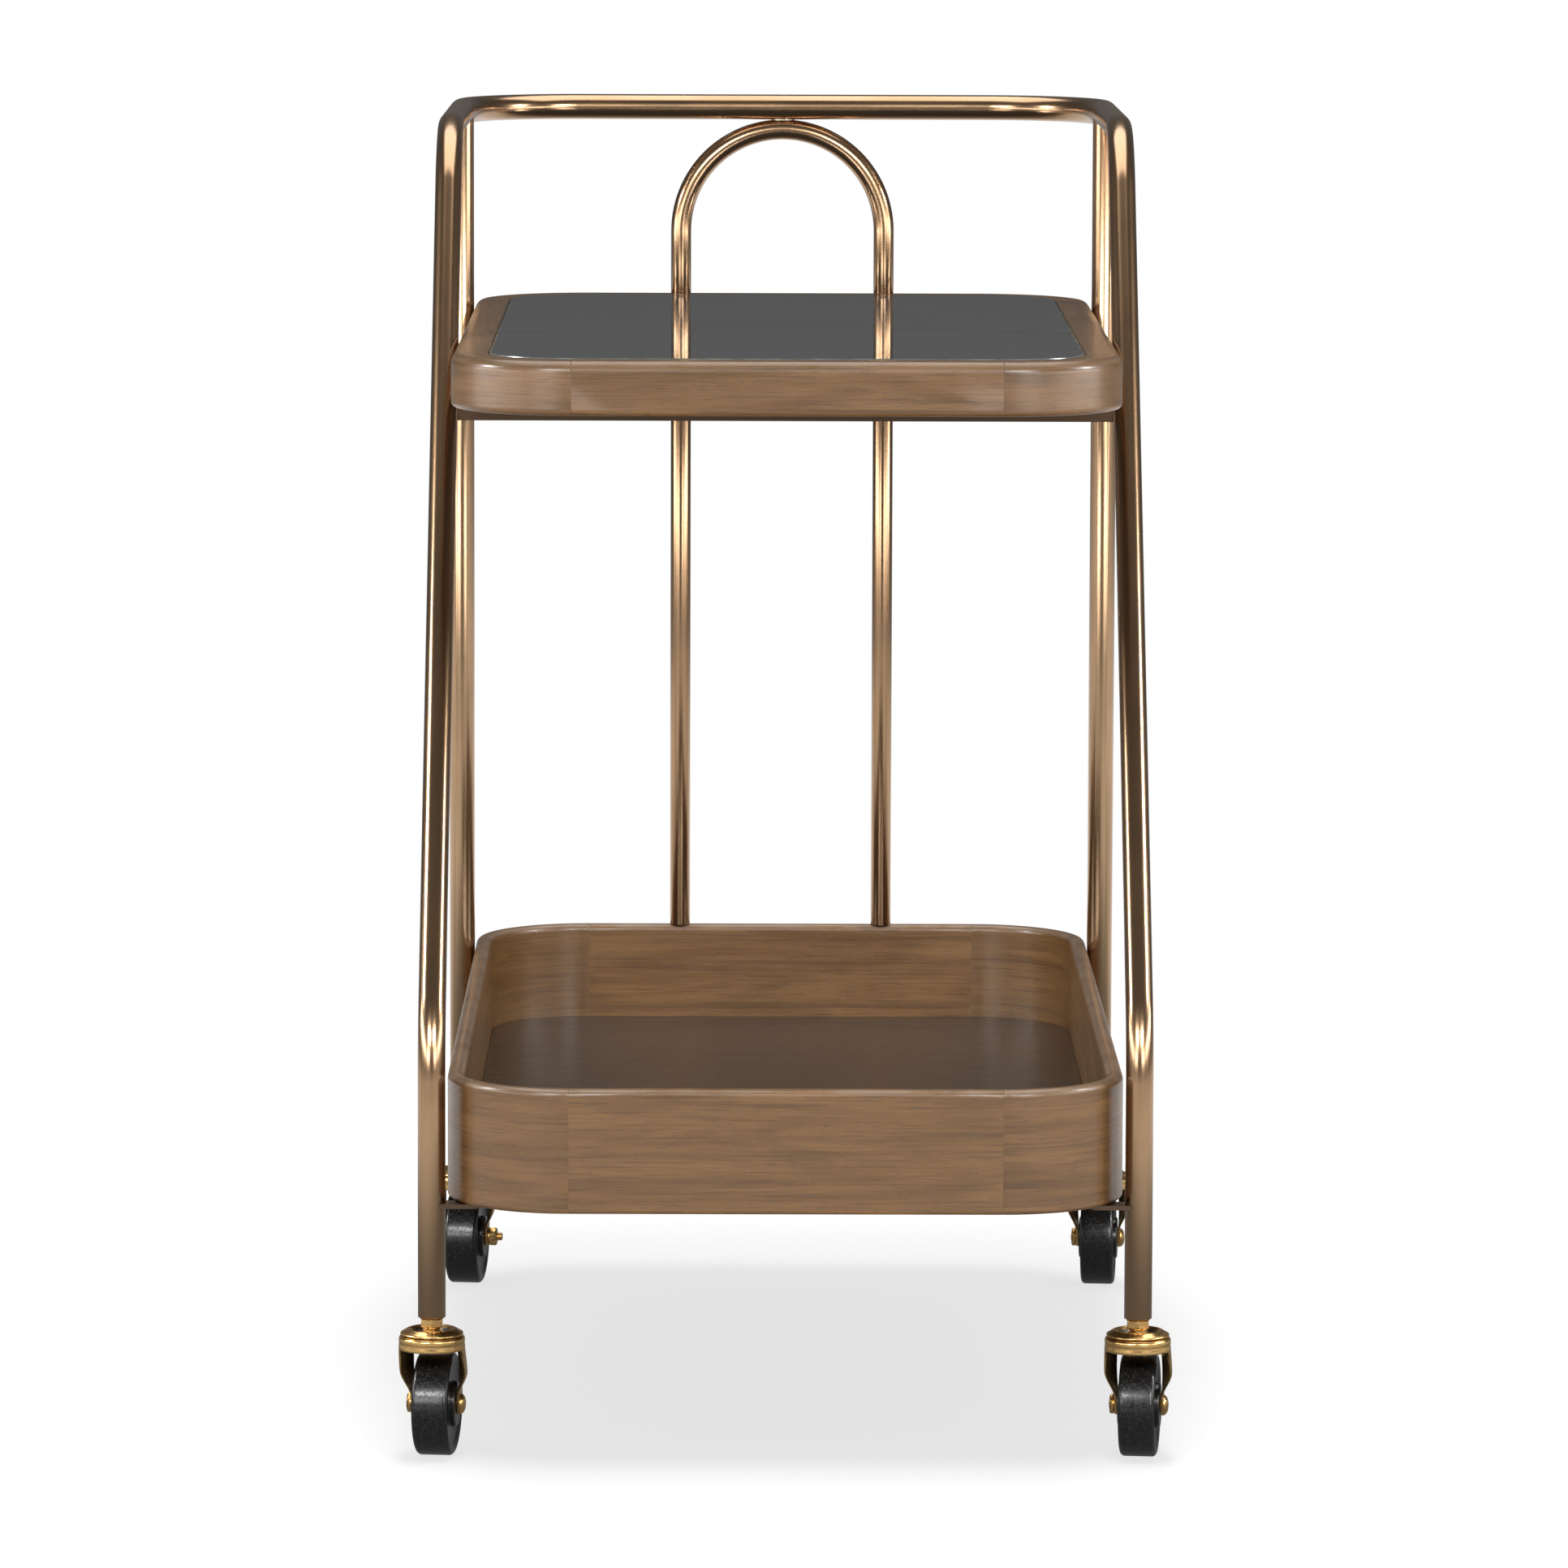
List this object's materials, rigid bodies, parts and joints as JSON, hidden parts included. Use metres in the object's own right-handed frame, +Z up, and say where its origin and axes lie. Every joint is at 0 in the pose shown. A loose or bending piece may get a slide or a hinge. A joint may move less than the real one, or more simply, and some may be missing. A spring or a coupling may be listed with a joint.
{
  "type": "bar cart",
  "caption": "Rolling bar cart: bent brass tube frame with a push handle and hoop, a glass-topped upper tray, a deep lower tray and swivel casters.",
  "frame": {"origin": "on the floor, under the centre of the bounding box", "axes": "+Z up, +Y towards the end with the push handle and the hoop, X across the cart"},
  "size_m": [0.5026, 0.785, 0.8556],
  "materials": {
    "antique_brass": "brushed brown-bronze plating on tube, satin",
    "bright_brass": "aged golden brass plating, semi-gloss",
    "walnut": "stained walnut veneer, satin lacquer",
    "dark_board": "dark stained panel, semi-gloss lacquer",
    "tinted_glass": "grey tinted mirror glass with polished edges",
    "clear_bumper": "soft clear bumper",
    "wheel_black": "hard black moulded wheel, glossy sides and scuffed tread"
  },
  "bodies": {
    "frame": {"back_leg_left": "antique_brass", "back_leg_right": "antique_brass", "caster_race_back_left": "bright_brass", "caster_race_back_right": "bright_brass", "caster_race_front_left": "bright_brass", "caster_race_front_right": "bright_brass", "caster_stem_back_left": "bright_brass", "caster_stem_back_right": "bright_brass", "caster_stem_front_left": "bright_brass", "caster_stem_front_right": "bright_brass", "glass_bumper_back_left": "clear_bumper", "glass_bumper_back_right": "clear_bumper", "glass_bumper_front_left": "clear_bumper", "glass_bumper_front_right": "clear_bumper", "glass_panel": "tinted_glass", "handle_frame": "antique_brass", "hoop": "antique_brass", "hoop_post_left": "antique_brass", "hoop_post_right": "antique_brass", "hoop_weld_back": "antique_brass", "hoop_weld_front": "antique_brass", "lower_board_back": "walnut", "lower_board_front": "walnut", "lower_board_left": "walnut", "lower_board_right": "walnut", "lower_corner_back_left": "walnut", "lower_corner_back_right": "walnut", "lower_corner_front_left": "walnut", "lower_corner_front_right": "walnut", "lower_floor_panel": "dark_board", "lower_tab_back_left": "antique_brass", "lower_tab_back_right": "antique_brass", "lower_tab_front_left": "antique_brass", "lower_tab_front_right": "antique_brass", "upper_corner_back_left": "walnut", "upper_corner_back_right": "walnut", "upper_corner_front_left": "walnut", "upper_corner_front_right": "walnut", "upper_crossbar_back": "antique_brass", "upper_crossbar_front": "antique_brass", "upper_deck_panel": "dark_board", "upper_rail_back": "walnut", "upper_rail_front": "walnut", "upper_rail_left": "walnut", "upper_rail_right": "walnut"},
    "fork_front_left": {"caster_fork_front_left": "bright_brass", "caster_axle_front_left": "bright_brass"},
    "wheel_front_left": {"caster_wheel_front_left": "wheel_black"},
    "fork_front_right": {"caster_fork_front_right": "bright_brass", "caster_axle_front_right": "bright_brass"},
    "wheel_front_right": {"caster_wheel_front_right": "wheel_black"},
    "fork_back_left": {"caster_fork_back_left": "bright_brass", "caster_axle_back_left": "bright_brass"},
    "wheel_back_left": {"caster_wheel_back_left": "wheel_black"},
    "fork_back_right": {"caster_fork_back_right": "bright_brass", "caster_axle_back_right": "bright_brass"},
    "wheel_back_right": {"caster_wheel_back_right": "wheel_black"}
  },
  "joints": [
    {"name": "swivel_front_left", "type": "hinge", "parent": "frame", "child": "fork_front_left", "pos_m": [-0.229, -0.3475, 0.08], "axis": [0, 0, 1], "continuous": true},
    {"name": "spin_front_left", "type": "hinge", "parent": "fork_front_left", "child": "wheel_front_left", "pos_m": [-0.22645, -0.32817, 0.0337], "axis": [0.9914, -0.1305, 0], "continuous": true},
    {"name": "swivel_front_right", "type": "hinge", "parent": "frame", "child": "fork_front_right", "pos_m": [0.229, -0.3475, 0.08], "axis": [0, 0, 1], "continuous": true},
    {"name": "spin_front_right", "type": "hinge", "parent": "fork_front_right", "child": "wheel_front_right", "pos_m": [0.23138, -0.32815, 0.0337], "axis": [0.9925, -0.1219, 0], "continuous": true},
    {"name": "swivel_back_left", "type": "hinge", "parent": "frame", "child": "fork_back_left", "pos_m": [-0.229, 0.2825, 0.08], "axis": [0, 0, 1], "continuous": true},
    {"name": "spin_back_left", "type": "hinge", "parent": "fork_back_left", "child": "wheel_back_left", "pos_m": [-0.22662, 0.30185, 0.0337], "axis": [0.9925, -0.1219, 0], "continuous": true},
    {"name": "swivel_back_right", "type": "hinge", "parent": "frame", "child": "fork_back_right", "pos_m": [0.229, 0.2825, 0.08], "axis": [0, 0, 1], "continuous": true},
    {"name": "spin_back_right", "type": "hinge", "parent": "fork_back_right", "child": "wheel_back_right", "pos_m": [0.2307, 0.30193, 0.0337], "axis": [0.9962, -0.0872, 0], "continuous": true}
  ]
}
